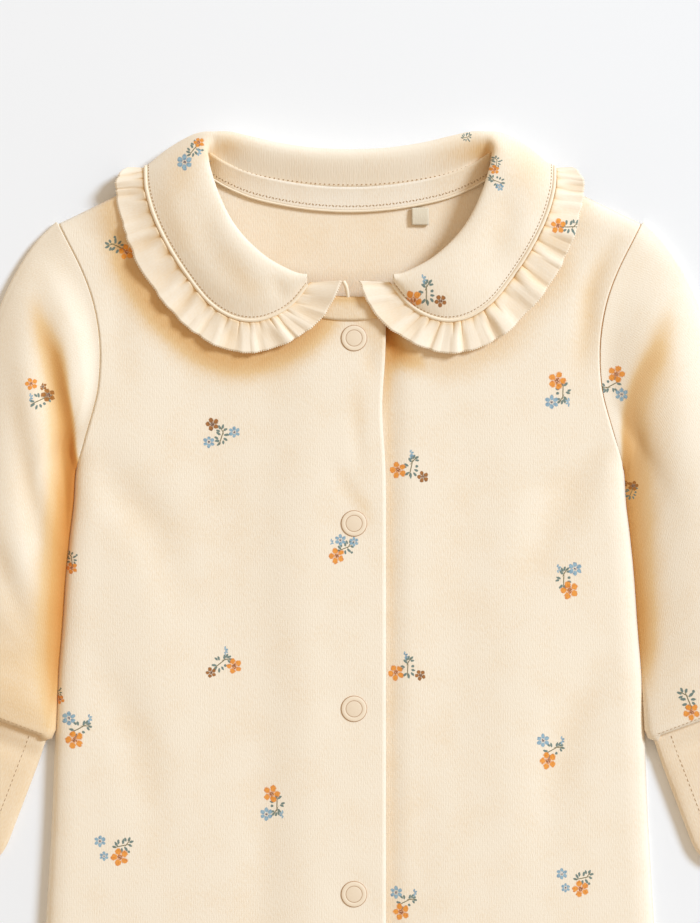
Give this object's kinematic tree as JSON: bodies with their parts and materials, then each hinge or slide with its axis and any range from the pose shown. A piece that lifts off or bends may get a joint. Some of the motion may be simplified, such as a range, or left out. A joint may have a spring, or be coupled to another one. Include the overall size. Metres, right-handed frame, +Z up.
{
  "type": "footed baby sleepsuit",
  "caption": "Footed sleepsuit for a newborn, laid flat on its back: ruffled round collar, poppers down the front, set-in sleeves ending in mitts, closed feet.",
  "frame": {"origin": "centre of the outline, on the surface that the suit lies on", "axes": "+Y from the feet to the collar, +X to the wearer's left, +Z up, away from the surface"},
  "size_m": [0.4068, 0.5336, 0.0151],
  "materials": {
    "body_cloth": "cream cotton interlock with a small flower print",
    "collar_cloth": "cream cotton interlock with a small flower print",
    "ruffle_cloth": "gathered cream cotton interlock",
    "trim_cloth": "plain cream cotton tape",
    "tab_cloth": "plain off-white woven tape",
    "popper_cap": "satin"
  },
  "bodies": {
    "root": {"back": "body_cloth", "front_right": "body_cloth", "front_left": "body_cloth", "sleeve_right": "body_cloth", "sleeve_left": "body_cloth", "mitt_right": "body_cloth", "mitt_left": "body_cloth", "foot_right": "body_cloth", "foot_left": "body_cloth", "collar": "collar_cloth", "ruffle": "ruffle_cloth", "neck_tape": "trim_cloth", "neck_band": "trim_cloth", "size_tab": "tab_cloth", "popper_1": "popper_cap", "popper_2": "popper_cap", "popper_3": "popper_cap", "popper_4": "popper_cap", "popper_5": "popper_cap"}
  },
  "joints": []
}
